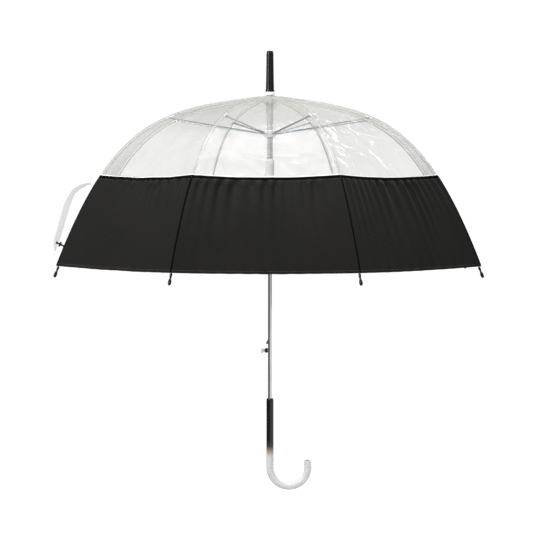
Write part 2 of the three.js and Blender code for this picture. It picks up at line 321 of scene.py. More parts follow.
class Material:
    """A Principled material with short ways to add nodes."""

    def __init__(self, name, **sockets):
        self.material = bpy.data.materials.new(name)
        self.material.use_nodes = True
        self.tree = self.material.node_tree
        self.shader = self.tree.nodes["Principled BSDF"]
        for key, value in sockets.items():
            self.shader.inputs[key.replace("_", " ")].default_value = value

    def node(self, kind, **settings):
        made = self.tree.nodes.new(kind)
        for key, value in settings.items():
            setattr(made, key, value)
        return made

    def link(self, source, target):
        self.tree.links.new(source, target)

    def coordinates(self, kind="Object", scale=(1, 1, 1)):
        mapping = self.node("ShaderNodeMapping")
        mapping.inputs["Scale"].default_value = scale
        self.link(self.node("ShaderNodeTexCoord").outputs[kind], mapping.inputs["Vector"])
        return mapping.outputs["Vector"]

    def noise(self, vector, scale, detail=4.0, distortion=0.0):
        made = self.node("ShaderNodeTexNoise")
        made.inputs["Scale"].default_value = scale
        made.inputs["Detail"].default_value = detail
        made.inputs["Distortion"].default_value = distortion
        self.link(vector, made.inputs["Vector"])
        return made.outputs["Fac"]

    def spread(self, value, low, high, start=0.3, end=0.7):
        made = self.node("ShaderNodeMapRange")
        for key, number in (("From Min", start), ("From Max", end), ("To Min", low), ("To Max", high)):
            made.inputs[key].default_value = number
        self.link(value, made.inputs["Value"])
        return made.outputs["Result"]

    def height(self):
        split = self.node("ShaderNodeSeparateXYZ")
        self.link(self.coordinates(), split.inputs["Vector"])
        return split.outputs["Z"]

    def mix(self, factor, first, second):
        made = self.node("ShaderNodeMix", data_type="RGBA")
        colours = [s for s in made.inputs if s.type == "RGBA"]
        for socket, colour in zip(colours, (first, second)):
            if isinstance(colour, tuple):
                socket.default_value = (*colour, 1)
            else:
                self.link(colour, socket)
        self.link(factor, made.inputs[0])
        return [s for s in made.outputs if s.type == "RGBA"][0]

    def maths(self, operation, first, second):
        made = self.node("ShaderNodeMath", operation=operation)
        for socket, value in zip(made.inputs, (first, second)):
            if isinstance(value, (int, float)):
                socket.default_value = value
            else:
                self.link(value, socket)
        return made.outputs["Value"]

    def bump(self, height, strength, distance):
        made = self.node("ShaderNodeBump")
        made.inputs["Strength"].default_value = strength
        made.inputs["Distance"].default_value = distance
        self.link(height, made.inputs["Height"])
        self.link(made.outputs["Normal"], self.shader.inputs["Normal"])

    def to(self, value, socket):
        self.link(value, self.shader.inputs[socket])


def film_material(name, shade, low_alpha, high_alpha, wrinkle, edge=0.5, crown_painted_shade=0.0):
    """Clear plastic film: faint haze in patches, long soft creases, and cloudier where seen edge on.

    The last argument is extra opacity above the stretcher joints, a painted shade that makes the upper film
    greyer."""
    m = Material(name, Metallic=0.0, IOR=1.5)
    creases = m.noise(m.coordinates(scale=(14, 14, 5)), 1.6, detail=3.0, distortion=1.2)
    folds = m.noise(m.coordinates(scale=(5, 5, 9)), 1.3, detail=1.0, distortion=2.5)
    haze = m.noise(m.coordinates(), 9.0)
    grazing = m.node("ShaderNodeLayerWeight")
    grazing.inputs["Blend"].default_value = 0.35
    m.to(m.mix(m.spread(haze, 0, 1), tuple(c * 0.9 for c in shade), shade), "Base Color")
    clouding = m.maths("MULTIPLY", m.maths("POWER", grazing.outputs["Facing"], 2.0), edge)
    # Painted shade: extra opacity greys the film above the stretcher joints, standing in for the darker look
    # the upper film gets from how the light falls on it.
    painted_shade_low, painted_shade_high = STRETCHER_HEIGHT - 30 * MM, STRETCHER_HEIGHT + 8 * MM
    crown = m.spread(m.height(), 0, crown_painted_shade, painted_shade_low, painted_shade_high)
    density = m.maths("ADD", m.spread(creases, low_alpha, high_alpha, 0.2, 0.8), crown)
    m.to(m.maths("ADD", density, clouding), "Alpha")
    m.to(m.spread(haze, 0.08, 0.2), "Roughness")
    ridges = m.maths("ABSOLUTE", m.maths("SUBTRACT", folds, 0.5), 0)
    m.bump(m.maths("ADD", creases, m.maths("MULTIPLY", ridges, 1.5)), wrinkle, 6 * MM)
    return m.material


def fabric_material(name, colour, gloss, sheen):
    """Plain-woven polyester: two thread directions, slubs, and dust-like variation."""
    m = Material(name, Metallic=0.0, Specular_IOR_Level=gloss, Sheen_Weight=sheen, Sheen_Roughness=0.5)
    uv = m.coordinates("UV")
    threads = []
    for direction in ("X", "Y"):
        wave = m.node("ShaderNodeTexWave", wave_type="BANDS", bands_direction=direction)
        wave.inputs["Scale"].default_value = 420
        wave.inputs["Distortion"].default_value = 0.4
        m.link(uv, wave.inputs["Vector"])
        threads.append(wave.outputs["Fac"])
    weave = m.maths("MULTIPLY", *threads)
    slub = m.noise(m.coordinates("UV", (60, 900, 1)), 1.0, detail=2.0)
    cloud = m.noise(m.coordinates(), 11.0)
    tone = m.maths("ADD", m.maths("MULTIPLY", weave, 0.25), m.maths("MULTIPLY", cloud, 0.75))
    dark, light = (tuple(c * k for c in colour) for k in (0.82, 1.18))
    m.to(m.mix(m.spread(tone, 0, 1), dark, light), "Base Color")
    m.to(m.spread(slub, 0.62, 0.8), "Roughness")
    m.bump(m.maths("ADD", weave, m.maths("MULTIPLY", slub, 0.5)), 0.5, 0.12 * MM)
    return m.material


def moulded_material(name, colour, rough, grain=0.15, alpha=1.0, gloss=0.5):
    """Moulded plastic: fine spark-eroded grain and slight handling marks."""
    m = Material(name, Metallic=0.0, Alpha=alpha, Specular_IOR_Level=gloss)
    fine = m.noise(m.coordinates(), 1400.0, detail=2.0)
    marks = m.noise(m.coordinates(), 60.0, detail=6.0)
    dark, light = (tuple(min(1.0, c * k) for c in colour) for k in (0.9, 1.06))
    m.to(m.mix(m.spread(marks, 0, 1), dark, light), "Base Color")
    m.to(m.spread(marks, rough * 0.85, rough * 1.2), "Roughness")
    m.bump(fine, grain, 0.05 * MM)
    return m.material


def metal_material(name, colour, rough, stretch):
    """Plated steel: drawn lines along the bar, with faint smudges."""
    m = Material(name, Metallic=1.0)
    lines = m.noise(m.coordinates(scale=stretch), 1.0, detail=3.0)
    smudge = m.noise(m.coordinates(), 25.0, detail=5.0)
    dark, light = (tuple(min(1.0, c * k) for c in colour) for k in (0.88, 1.05))
    m.to(m.mix(m.spread(smudge, 0, 1), dark, light), "Base Color")
    m.to(m.spread(smudge, rough * 0.7, rough * 1.5), "Roughness")
    m.bump(lines, 0.08, 0.05 * MM)
    return m.material


def fill_ramp(ramp, stops):
    """Sets a colour ramp from (position, colour) stops."""
    elements = ramp.color_ramp.elements
    for place, _ in stops[1:-1]:
        elements.new(place)
    for element, (place, colour) in zip(elements, stops):
        element.position = place
        element.color = (*colour, 1)


def handle_material(fade_low, fade_high):
    """Cast acrylic, clear at the hook and dyed black towards the shaft, with a brown edge to the dye."""
    m = Material("handle_acrylic", Metallic=0.0, IOR=1.49)
    blur = m.noise(m.coordinates(), 70.0, detail=3.0)
    height = m.maths("ADD", m.height(), m.maths("MULTIPLY", blur, 3 * MM))
    dye = m.spread(height, 0, 1, fade_low, fade_high)
    ramp = m.node("ShaderNodeValToRGB")
    fill_ramp(ramp, [
        (0.0, (0.84, 0.82, 0.84)), (0.3, (0.42, 0.33, 0.28)), (0.6, (0.05, 0.035, 0.03)),
        (1.0, (0.004, 0.004, 0.004)),
    ])
    m.link(dye, ramp.inputs["Fac"])
    m.to(ramp.outputs["Color"], "Base Color")
    rim = m.node("ShaderNodeLayerWeight")
    rim.inputs["Blend"].default_value = 0.3
    cloud = m.maths("MULTIPLY", rim.outputs["Facing"], 0.2)
    m.to(m.maths("ADD", m.spread(dye, 0.72, 1.0, 0.0, 0.45), cloud), "Alpha")
    m.to(m.spread(m.noise(m.coordinates(), 45.0), 0.05, 0.12), "Roughness")
    m.bump(m.noise(m.coordinates(scale=(25, 25, 9)), 1.0), 0.05, 0.2 * MM)
    return m.material


# The last number is the painted shade above the stretcher joints.
FILM = film_material("clear_film", (0.42, 0.415, 0.385), 0.09, 0.17, 0.9, 0.5, 0.15)
FILM_TAPE = film_material("film_weld", (0.5, 0.5, 0.47), 0.05, 0.12, 0.15, 0.12)
WELD = film_material("weld_ridge", (0.36, 0.36, 0.31), 0.3, 0.42, 0.05, 0.1)
FILM_HEM = film_material("film_hem", (0.86, 0.86, 0.85), 0.75, 0.9, 0.2, 0.1)
STRAP_FILM = film_material("strap_film", (0.92, 0.89, 0.81), 0.32, 0.44, 0.1, 0.02)
FABRIC = fabric_material("black_fabric", (0.0062, 0.0058, 0.0051), 0.13, 0.02)
SEAM_FABRIC = fabric_material("seam_fabric", (0.003, 0.003, 0.003), 0.02, 0.0)
THREAD = moulded_material("stitch_thread", (0.075, 0.05, 0.045), 0.7)
WHITE = moulded_material("white_plastic", (0.93, 0.94, 0.94), 0.35)
CROWN_GREY = moulded_material("crown_plastic", (0.64, 0.65, 0.65), 0.35)
BLACK = moulded_material("black_plastic", (0.004, 0.004, 0.004), 0.24, gloss=0.36)
RIB_ROD = moulded_material("rib_fibreglass", (0.7, 0.7, 0.64), 0.4, alpha=0.55)
CHROME = metal_material("chromed_tube", (0.66, 0.67, 0.68), 0.05, (300, 300, 8))
PLATED = metal_material("plated_steel", (0.5, 0.57, 0.62), 0.25, (300, 300, 300))
CATCH = metal_material("catch_steel", (0.16, 0.15, 0.13), 0.3, (300, 300, 300))
SPRING = metal_material("spring_steel", (0.26, 0.28, 0.3), 0.4, (300, 300, 300))
BUTTON = moulded_material("button_plastic", (0.82, 0.8, 0.76), 0.2)


# Canopy -------------------------------------------------------------------------------------------

CREASES = np.random.default_rng(7).uniform(-1, 1, (RIBS, 6))  # sizes and phases, a row for each panel


def rib_angle(i):
    return (2 * i + 1) * HALF_STEP


def place_across(rib, side, share):
    """The panel beside a rib, and its c at a share of the way from the rib to mid-panel.

    side 1 is the panel towards the next rib, and side -1 the one before it."""
    return (rib, -1 + share) if side > 0 else ((rib - 1) % RIBS, 1 - share)


def half_name(kind, rib, side):
    return f"{kind}_{rib + 1}_{'a' if side > 0 else 'b'}"


def half_faces(rows, columns, side):
    """Faces of half a panel, wound so that both halves face out."""
    faces = grid_faces(rows, columns)
    return [tuple(reversed(f)) for f in faces] if side > 0 else faces


def panel_points(panel, t, c, lift=0.0, pucker=False):
    """Points of one panel, which runs from rib panel (c = -1) to the next rib (c = 1).

    t is the rib line's parameter down the panel, and lift moves the sheet out from the skin.
    The panel is stretched between its ribs, a little hollow, with soft random creases."""
    t, c = np.broadcast_arrays(t, c)
    shape = t.shape
    line = rib_line(t.ravel())
    normal = rib_tangent(t.ravel())
    radius, height = line[:, 0].reshape(shape), line[:, 1].reshape(shape)
    out_r, out_z = -normal[:, 1].reshape(shape), normal[:, 0].reshape(shape)
    middle = rib_angle(panel) + HALF_STEP
    slack = np.clip(1 - c**2, 0, 1)
    hollow = slack * 0.028 * radius * (1 - 0.5 * radius / HEM_CORNER[0])
    near_seam = np.exp(-(((t - T_BAND) / 0.12) ** 2))
    drop = slack * 1.5 * MM * near_seam
    a = CREASES[panel]
    crease = slack * (
        0.8 * MM * a[0] * np.sin(3 * math.pi * c + 4 * t + 3 * a[1])
        + 0.5 * MM * a[2] * np.sin(7 * c + 9 * t + 3 * a[3])
        + 0.35 * MM * a[4] * np.sin(15 * c - 7 * t + 3 * a[5])
    ) * (radius / HEM_CORNER[0])
    if pucker:
        reach = np.clip((t - T_BAND) / (1 - T_BAND), 0, 1)
        pleats = np.cos(13 * math.pi * c + 2.6 * np.sin(5 * c + 3 * a[1]) + 5 * reach * a[0])
        pleats = pleats * (1 + 0.8 * np.sin(7 * c + 4 * a[2]) * np.cos(4 * c - 3 * a[4]))
        fade = np.clip(reach / 0.09, 0, 1) * np.exp(-reach * 4.5)
        crease = crease + slack**0.3 * 3.6 * MM * pleats * fade
        crease = crease + slack * 0.5 * MM * np.cos(34 * c + 5 * a[3]) * np.exp(-(1 - reach) * 14)
    outward = lift + crease - hollow
    half_width = radius * math.sin(HALF_STEP)
    face = radius * math.cos(HALF_STEP) + outward * out_r
    x = face * math.cos(middle) - c * half_width * math.sin(middle)
    y = face * math.sin(middle) + c * half_width * math.cos(middle)
    z = height + outward * out_z - drop
    return np.stack([x, y, z], -1)


def arc_lengths(t):
    line = rib_line(t)
    return np.concatenate([[0], np.cumsum(np.linalg.norm(np.diff(line, axis=0), axis=1))])


def fold_with_runner(obj, t_from, t_to):
    """Gives a piece its own copy of its mesh; the rib's direction between two parameters is worked out but
    not used.
    """
    (r0, z0), (r1, z1) = rib_line([t_from, t_to])
    along = np.array([r1 - r0, 0.0, z1 - z0])
    along /= np.linalg.norm(along)
    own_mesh(obj)


def half_panel(kind, rib, side, rows_t, columns, material, body, node,
               lift=0.0, pucker=False, turn_in=None):
    """The half of a panel that hangs on one rib, down the rib line's parameters rows_t."""
    share = np.linspace(0, 1, columns)
    panel, c = place_across(rib, side, share)
    t, c = rows_t[:, None], c[None, :]
    points = panel_points(panel, t, c, lift, pucker)
    step = 2e-3
    c_next = panel_points(panel, t, c + step, lift, pucker)
    t_next = panel_points(panel, t + step, c, lift, pucker)
    normals = np.cross(t_next - points, c_next - points)
    normals /= np.maximum(np.linalg.norm(normals, axis=2), 1e-12)[..., None]
    down = arc_lengths(rows_t)
    reach = rib_line(rows_t)[:, :1] * math.sin(HALF_STEP)
    uv = np.stack(np.broadcast_arrays(share[None, :] * reach, down[:, None]), -1)
    if turn_in is not None:
        points, normals, uv = turn_in(points, normals, uv)
    obj = new_object(half_name(kind, rib, side), points.reshape(-1, 3),
                     half_faces(len(points), columns, side), material, uv.reshape(-1, 2),
                     normals=normals.reshape(-1, 3))
    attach(obj, body)
    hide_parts(node)
    fold_with_runner(obj, rows_t[0], rows_t[-1])


def hemmed(points, normals, uv):
    """Turns the bottom edge of the fabric up inside, as a sewn hem."""
    down = points[-1] - points[-2]
    down /= np.linalg.norm(down, axis=1)[:, None]
    out = normals[-1] * np.sign((normals[-1] * points[-1])[:, :2].sum(1))[:, None]
    rows, shades, maps = [points], [normals], [uv]
    for angle in np.linspace(0, math.pi, 7)[1:]:
        turn = down * math.sin(angle) - out * (1 - math.cos(angle))
        rows.append((points[-1] + turn * HEM_ROLL)[None])
        shades.append((normals[-1] * math.cos(angle))[None])
        maps.append(uv[-1:])
    rows.append((rows[-1][0] - down * HEM_DEPTH)[None])
    shades.append(-normals[-1:])
    maps.append(uv[-1:])
    return np.concatenate(rows), np.concatenate(shades), np.concatenate(maps)


def film_halves(rib, side):
    spans = (("film_top", 0.0, T_STRETCHER, 26, 25), ("film_low", T_STRETCHER, T_BAND, 30, 49))
    for kind, start, end, rows, columns in spans:
        half_panel(kind, rib, side, np.linspace(start, end, rows), columns, FILM,
                   f"rib_{rib + 1}", f"clear_panel_{rib + 1}")


def edge_strip(kind, rib, side, span, lift, material, body):
    """A strip across half a panel, swelling in its middle, at the seam of film and fabric."""
    rows, columns = 7, 61
    share = np.linspace(0, 1, columns)
    panel, c = place_across(rib, side, share)
    t = np.linspace(*span, rows)
    middle = rib_angle(panel) + HALF_STEP
    outward = np.array([math.cos(middle), math.sin(middle), 0.6]) / math.hypot(1, 0.6)
    swell = 0.4 * MM * np.sin(np.linspace(0, math.pi, rows))
    points = panel_points(panel, t[:, None], c[None, :], lift) + swell[:, None, None] * outward
    half = float(rib_line(t)[0, 0] * math.sin(HALF_STEP))
    uv = np.stack(np.broadcast_arrays(share[None, :] * half, arc_lengths(t)[:, None]), -1)
    obj = new_object(half_name(kind, rib, side), points.reshape(-1, 3),
                     half_faces(rows, columns, side), material, uv.reshape(-1, 2))
    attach(obj, body)
    fold_with_runner(obj, T_BAND, 1)


def band_half(rib, side):
    half_panel("band", rib, side, np.linspace(BAND_START, 1, 60), 121, FABRIC,
               f"rib_end_{rib + 1}", f"band_panel_{rib + 1}",
               lift=0.5 * MM, pucker=True, turn_in=hemmed)


def strip_along_rib(kind, rib, span, half_width, lift, material, body, bead=0.0):
    """A narrow strip down a rib on the outside of the canopy, such as a weld or a seam.

    bead is how far its middle stands above its edges."""
    t = np.linspace(*span, 60)
    reach = rib_line(t)[:, 0] * math.sin(HALF_STEP)
    offsets = np.linspace(-1, 1, 9)
    columns = []
    for offset in offsets:
        share = np.minimum(abs(offset) * half_width / reach, 1)
        panel, c = place_across(rib, 1 if offset >= 0 else -1, share)
        columns.append(panel_points(panel, t, c, lift + bead * (1 - offset**2)))
    points = np.stack(columns, 1)
    uv = np.stack(np.broadcast_arrays((offsets * half_width)[None, :], arc_lengths(t)[:, None]), -1)
    obj = new_object(f"{kind}_{rib + 1}", points.reshape(-1, 3), grid_faces(len(t), len(offsets)),
                     material, uv.reshape(-1, 2))
    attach(obj, body)


def stitches(rib, side):
    """Rows of short stitches just above the hem and below the band's top edge."""
    verts, faces = [], []
    pitch = STITCH + STITCH_GAP
    for t in STITCH_ROWS:
        half = float(rib_line(t)[0, 0] * math.sin(HALF_STEP))
        for k in range(int(half / pitch)):
            start = k * pitch + 1 * MM
            panel, ends = place_across(rib, side, np.array([start, start + STITCH]) / half)
            base = len(verts)
            for c in ends:
                for across in (0, THREAD_WIDTH / RIB_LENGTH):
                    verts.append(panel_points(panel, t + across, c, 0.75 * MM, True))
            faces.append((base, base + 1, base + 3, base + 2))
    obj = new_object(half_name("stitching", rib, side), verts, faces, THREAD)
    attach(obj, f"rib_end_{rib + 1}")
    fold_with_runner(obj, T_BAND, 1)


# Frame of one rib ---------------------------------------------------------------------------------


def rib_rod(rib):
    """The one-piece springy rod, as a single tube that is not made to bend here; the real rod bends across
    the seam as the umbrella closes.
    """
    line = in_rib_plane(under(np.linspace(0.004, 1, 90), RIB_DEPTH))
    obj = tube(f"rib_rod_{rib + 1}", line, RIB_RADIUS, RIB_ROD, sides=14)
    angle = rib_angle(rib)
    turn_to_rib(obj, angle)
    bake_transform(obj)
    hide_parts(f"rib_{rib + 1}", f"rib_end_{rib + 1}")


def rib_tip(rib):
    """The moulded cap on the end of a rib: a collar, a thin neck and a rounded bulb."""
    profile = [
        (0.0, 0), (1.7, 0), (2.1, 0.4), (2.3, 1.6), (2.3, 5), (2.1, 6.6), (1.6, 7.6), (1.55, 9),
        (1.9, 10.4), (2.6, 12), (3.1, 14.0), (3.1, 18), (2.7, 20), (1.7, 21.3), (0.0, 21.7),
    ]
    sides = 24
    along = rib_tangent(1)[0]
    start = under(1, RIB_DEPTH)[0] + 0.3 * MM * along
    verts = []
    for radius, distance in profile:
        r, z = start + along * distance * MM
        verts += [(r + a * along[1], b, z - a * along[0]) for a, b in circle(radius * MM, sides)]
    faces = grid_faces(len(profile), sides, around=True)
    obj = new_object(f"tip_cap_{rib + 1}", verts, faces, BLACK)
    turn_to_rib(obj, rib_angle(rib))
    modify(obj, "SUBSURF", levels=1, render_levels=1)
    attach(obj, f"rib_end_{rib + 1}")
    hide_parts(f"rib_tip_{rib + 1}")


def rib_joint(rib):
    """The moulded clip on the rib that the stretcher's fork turns on."""
    t = np.linspace(T_STRETCHER - 0.02, T_STRETCHER + 0.014, 14)
    bulge = np.sin(np.linspace(0.25, math.pi - 0.25, len(t))) ** 0.5
    radii = 1.55 * MM + 0.5 * MM * bulge
    clip = tube(f"rib_clip_{rib + 1}", in_rib_plane(under(t, RIB_DEPTH)), radii, WHITE, sides=20)
    turn_to_rib(clip, rib_angle(rib))
    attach(clip, f"rib_{rib + 1}")


def stretcher(rib):
    """A folded steel channel from the runner's ring to the rib, with a riveted fork."""
    pivot = np.array([STRETCHER_RADIUS, 0, STRETCHER_HEIGHT])
    inner = np.array([12.2 * MM, 0, RING_CENTRE])
    length = np.linalg.norm(inner - pivot)
    along = (inner - pivot) / length
    out = np.cross(along, (0, 1, 0))

    def corner(ahead, sideways, rise):
        """A corner of the fork, in millimetres from the pivot."""
        return pivot + (along * ahead + out * rise + np.array([0, sideways, 0])) * MM

    wide, tall, wall = 1.3 * MM, 1.1 * MM, 0.35 * MM
    channel = [
        (-tall, -wide), (-tall, wide), (tall, wide), (tall, wide - wall), (-tall + wall, wide - wall),
        (-tall + wall, -wide + wall), (tall, -wide + wall), (tall, -wide),
    ]
    bar_path = [pivot + along * d for d in np.linspace(8.5 * MM, length, 12)]
    parts = [swept("bar", bar_path, channel, PLATED)]
    round_end = [(-1.6 * math.cos(a), 1.3 * math.sin(a)) for a in np.linspace(-math.pi / 2, math.pi / 2, 9)]
    outline = [*round_end, (8.5, 1.2), (13.5, 1.0), (13.5, -1.0), (8.5, -1.2)]
    web_faces = [(0, 1, 2), (3, 5, 4), (0, 3, 4, 1), (1, 4, 5, 2), (2, 5, 3, 0)]
    for side in (-1, 1):
        near, far = side * 2.1, side * 3.2
        verts = [corner(ahead, y, rise) for y in (near, far) for ahead, rise in outline]
        parts.append(new_object("cheek", verts, prism_faces(len(outline)), PLATED))
        verts = [corner(*at, rise) for rise in (-1, 1) for at in ((9, near), (9, far), (13, 0))]
        parts.append(new_object("web", verts, web_faces, PLATED))
    sides = 16
    rings = [(1.3, 3.2), (1.2, 3.6), (0.8, 3.95), (0.01, 4.05)]
    for side in (-1, 1):
        verts = [pivot + np.array([a, side * y * MM, b]) for r, y in rings for a, b in circle(r * MM, sides)]
        parts.append(new_object("rivet", verts, grid_faces(len(rings), sides, around=True), PLATED))
    obj = join(f"stretcher_arm_{rib + 1}", *parts)
    turn_to_rib(obj, rib_angle(rib))
    bevelled(obj, 0.15 * MM, 2)
    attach(obj, f"stretcher_{rib + 1}")
    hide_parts(f"stretcher_{rib + 1}")


# Pole and runner ----------------------------------------------------------------------------------


def lathed(name, profile_mm, material, body, node, base):
    """A turned piece from (radius, height) corners in millimetres above its base."""
    obj = turned(name, [(r * MM, base + z * MM) for r, z in profile_mm], material)
    return finish_piece(obj, body, node)


def finish_piece(obj, body, node, bevel=0.3):
    """Rounds the edges of a hard piece by a bevel in millimetres, puts it on its body, and hides the CAD
    node it replaces if one is given.
    """
    if bevel:
        bevelled(obj, bevel * MM)
    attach(obj, body)
    if node:
        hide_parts(node)
    return obj


def slotted(obj, inner, outer, low, high, width):
    """Cuts the eight radial slots that hold the rib or stretcher ends."""
    material = obj.data.materials[0]
    cutters = []
    for i in range(RIBS):
        cutter = box_object("cutter", (inner, -width / 2, low), (outer, width / 2, high), material)
        cutters.append(turn_to_rib(cutter, rib_angle(i)))
    return cut(obj, *cutters)


SHAFT_LOW, SHAFT_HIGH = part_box("shaft_tube")
SHAFT_RADIUS = SHAFT_HIGH.x
RING_LOW, RING_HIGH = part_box("runner_ring")
RING_CENTRE = RING_HIGH.z - 7.4 * MM
CATCH_LOW, CATCH_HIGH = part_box("shaft_catch")
BUTTON_LOW, BUTTON_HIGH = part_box("release_button")
BUTTON_Z = (BUTTON_LOW.z + BUTTON_HIGH.z) / 2


def shaft():
    """The chromed tube, with a window for the catch and a hole for the button."""
    bore = SHAFT_RADIUS - 0.8 * MM
    low, high = SHAFT_LOW.z, SHAFT_HIGH.z
    obj = turned("shaft", [(bore, low), (SHAFT_RADIUS, low), (SHAFT_RADIUS, high), (bore, high)], CHROME)
    cutters = []
    for half_width, bottom, top in (
        (1.6 * MM, CATCH_LOW.z - MM, CATCH_HIGH.z + MM),
        (1.8 * MM, BUTTON_Z - 2.3 * MM, BUTTON_Z + 2.3 * MM),
    ):
        corners = (-12 * MM, -half_width, bottom), (-1 * MM, half_width, top)
        cutters.append(box_object("cutter", *corners, CHROME))
    cut(obj, *cutters)
    finish_piece(obj, "pole", "shaft_tube", bevel=0.15)


def handle():
    """The bent acrylic rod with softly rounded ends, and a black collar round the shaft."""
    low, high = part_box("handle")
    radius = 7 * MM
    bend = (high.x - low.x - 2 * radius) / 2
    bend_z = low.z + radius + bend
    lip, lean = 14 * MM, 1 * MM
    edge = 1.6 * MM
    turn = np.linspace(0, math.pi, 61)[1:]
    path = [(0.0, 0.0, z) for z in np.linspace(high.z, bend_z, 40)]
    path += [(bend - bend * math.cos(a), 0.0, bend_z - bend * math.sin(a)) for a in turn]
    path += [(2 * bend - lean * k / 6, 0.0, bend_z + lip * k / 6) for k in range(1, 7)]
    path = np.asarray(path)
    distance = np.concatenate([[0], np.cumsum(np.linalg.norm(np.diff(path, axis=0), axis=1))])
    total = distance[-1]
    ends = edge * (1 - np.cos(np.linspace(0, math.pi / 2, 6)))
    between = distance[(distance > edge) & (distance < total - edge)]
    stations = np.unique(np.concatenate([ends, between, total - ends]))
    path = np.stack([np.interp(stations, distance, path[:, k]) for k in range(3)], 1)
    gap = np.minimum(stations, total - stations)
    rounding = edge - np.sqrt(np.maximum(edge**2 - (edge - gap) ** 2, 0))
    radii = radius - np.where(gap < edge, rounding, 0)
    acrylic = handle_material(low.z + FADE_LOW, low.z + FADE_HIGH)
    obj = tube("hook_handle", path, radii, acrylic, sides=48)
    finish_piece(obj, "pole", "handle", bevel=0)
    collar = [(4.05, 0.0), (6.1, 0.0), (6.3, 0.3), (6.1, 0.7), (4.9, 1.1), (4.05, 1.2)]
    lathed("handle_collar", collar, BLACK, "pole", None, base=high.z - 0.1 * MM)


def ferrule():
    low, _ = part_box("ferrule")
    profile = [
        (4.3, 0), (8.4, 0), (8.8, 0.5), (8.75, 2.0), (8.3, 3.6), (7.9, 6), (7.4, 38), (6.9, 71.5),
        (6.8, 74.5), (6.5, 76.8), (5.9, 78.3), (4.9, 78.95), (0.01, 79), (0.01, 60), (4.3, 60),
    ]
    lathed("ferrule_cap", profile, BLACK, "pole", "ferrule", base=low.z)


def crown():
    """The notched spool that holds the ribs, and the washer over the film."""
    low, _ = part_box("crown")
    profile = [
        (4.3, 0), (5.6, 0), (5.9, 0.4), (6.4, 22), (7.1, 44), (7.3, 47.6), (8.8, 49.8), (12.2, 50),
        (12.5, 50.4), (12.5, 62.6), (12.2, 63), (6.6, 63), (6.6, 66.9), (8.7, 66.9), (9.2, 67.6),
        (9.2, 71), (8.8, 72.2), (8.4, 72.5), (4.3, 72.5),
    ]
    obj = turned("crown_spool", [(r * MM, low.z + z * MM) for r, z in profile], CROWN_GREY, 96)
    slotted(obj, 7.6 * MM, 16 * MM, low.z + 47 * MM, low.z + 66 * MM, 4.4 * MM)
    finish_piece(obj, "pole", "crown", bevel=0.2)
    washer = [
        (8.9, 66.6), (9.5, 67.4), (9.5, 71.2), (9.0, 72.4), (8.5, 72.7), (4.3, 72.7), (4.3, 72.4),
        (8.7, 67),
    ]
    lathed("crown_washer", washer, WHITE, "pole", None, base=low.z)


def coil_spring():
    """The round-wire coil on the ring's neck."""
    low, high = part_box("runner_spring")
    turns, coil, wire, sides = 8, 5.8 * MM, 0.6 * MM, 10
    rise = high.z - low.z - 1 * MM
    n = np.linspace(0, turns, turns * 40 + 1)
    angle = 2 * math.pi * n
    out = np.stack([np.cos(angle), np.sin(angle), np.zeros(len(n))], 1)
    up = np.array([0.0, 0.0, 1.0])
    centre = coil * out + (low.z + 0.5 * MM + rise * n / turns)[:, None] * up
    section = circle(wire, sides)
    points = centre[:, None] + section[None, :, :1] * out[:, None] + section[None, :, 1:] * up
    faces = grid_faces(len(n), sides, around=True)
    faces.append(tuple(range(sides)))
    faces.append(tuple(reversed(range((len(n) - 1) * sides, len(n) * sides))))
    obj = new_object("opening_spring", points.reshape(-1, 3), faces, SPRING)
    finish_piece(obj, "runner", "runner_spring", bevel=0)


def runner():
    """The notched ring on its long neck, the grip sleeve and the coil between them."""
    sleeve_low, sleeve_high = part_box("runner_sleeve")
    tail = (RING_LOW.z - RING_CENTRE) / MM
    profile = [
        (4.3, tail), (5.0, tail), (5.0, -7), (9, -6), (12.2, -5.2), (12.5, -4.8), (12.5, 4.6),
        (12.1, 5.1), (9, 7.2), (8.6, 7.4), (4.3, 7.4),
    ]
    ring = turned("runner_notch", [(r * MM, RING_CENTRE + z * MM) for r, z in profile], WHITE, 96)
    slotted(ring, 9.0 * MM, 16 * MM, RING_CENTRE - 8 * MM, RING_CENTRE + 8 * MM, 3.8 * MM)
    finish_piece(ring, "runner", "runner_ring", bevel=0.2)

    height = (sleeve_high.z - sleeve_low.z) / MM
    profile = [
        (5.3, 0), (8.4, 0), (9.6, 0.7), (10, 1.5), (10, 3), (9.5, 3.9), (8.7, 4.8), (8.5, 6),
        (8.5, height - 5), (8.2, height - 4.6), (8.2, height - 3.4), (8.5, height - 3),
        (8.5, height - 0.5), (8.1, height), (5.3, height),
    ]
    sleeve = turned("runner_grip", [(r * MM, sleeve_low.z + z * MM) for r, z in profile], WHITE, 96)
    window_low = sleeve_low.z + 2.6 * MM
    window_high = window_low + 10.4 * MM
    corners = (-15 * MM, -2 * MM, window_low), (-3 * MM, 2 * MM, window_high)
    cut(sleeve, box_object("cutter", *corners, WHITE))
    finish_piece(sleeve, "runner", "runner_sleeve", bevel=0.2)
    coil_spring()


def catch():
    """The wedge that the closed runner snaps over."""
    low, high = CATCH_LOW, CATCH_HIGH
    outline = [
        (high.x, low.z), (low.x + 0.3 * MM, low.z), (low.x, low.z + 0.3 * MM),
        (low.x, low.z + 1.2 * MM), (-SHAFT_RADIUS, high.z), (high.x, high.z),
    ]
    verts = [(x, y, z) for y in (low.y, high.y) for x, z in outline]
    obj = new_object("catch_nose", verts, prism_faces(len(outline)), CATCH)
    finish_piece(obj, "catch", "shaft_catch", bevel=0.2)


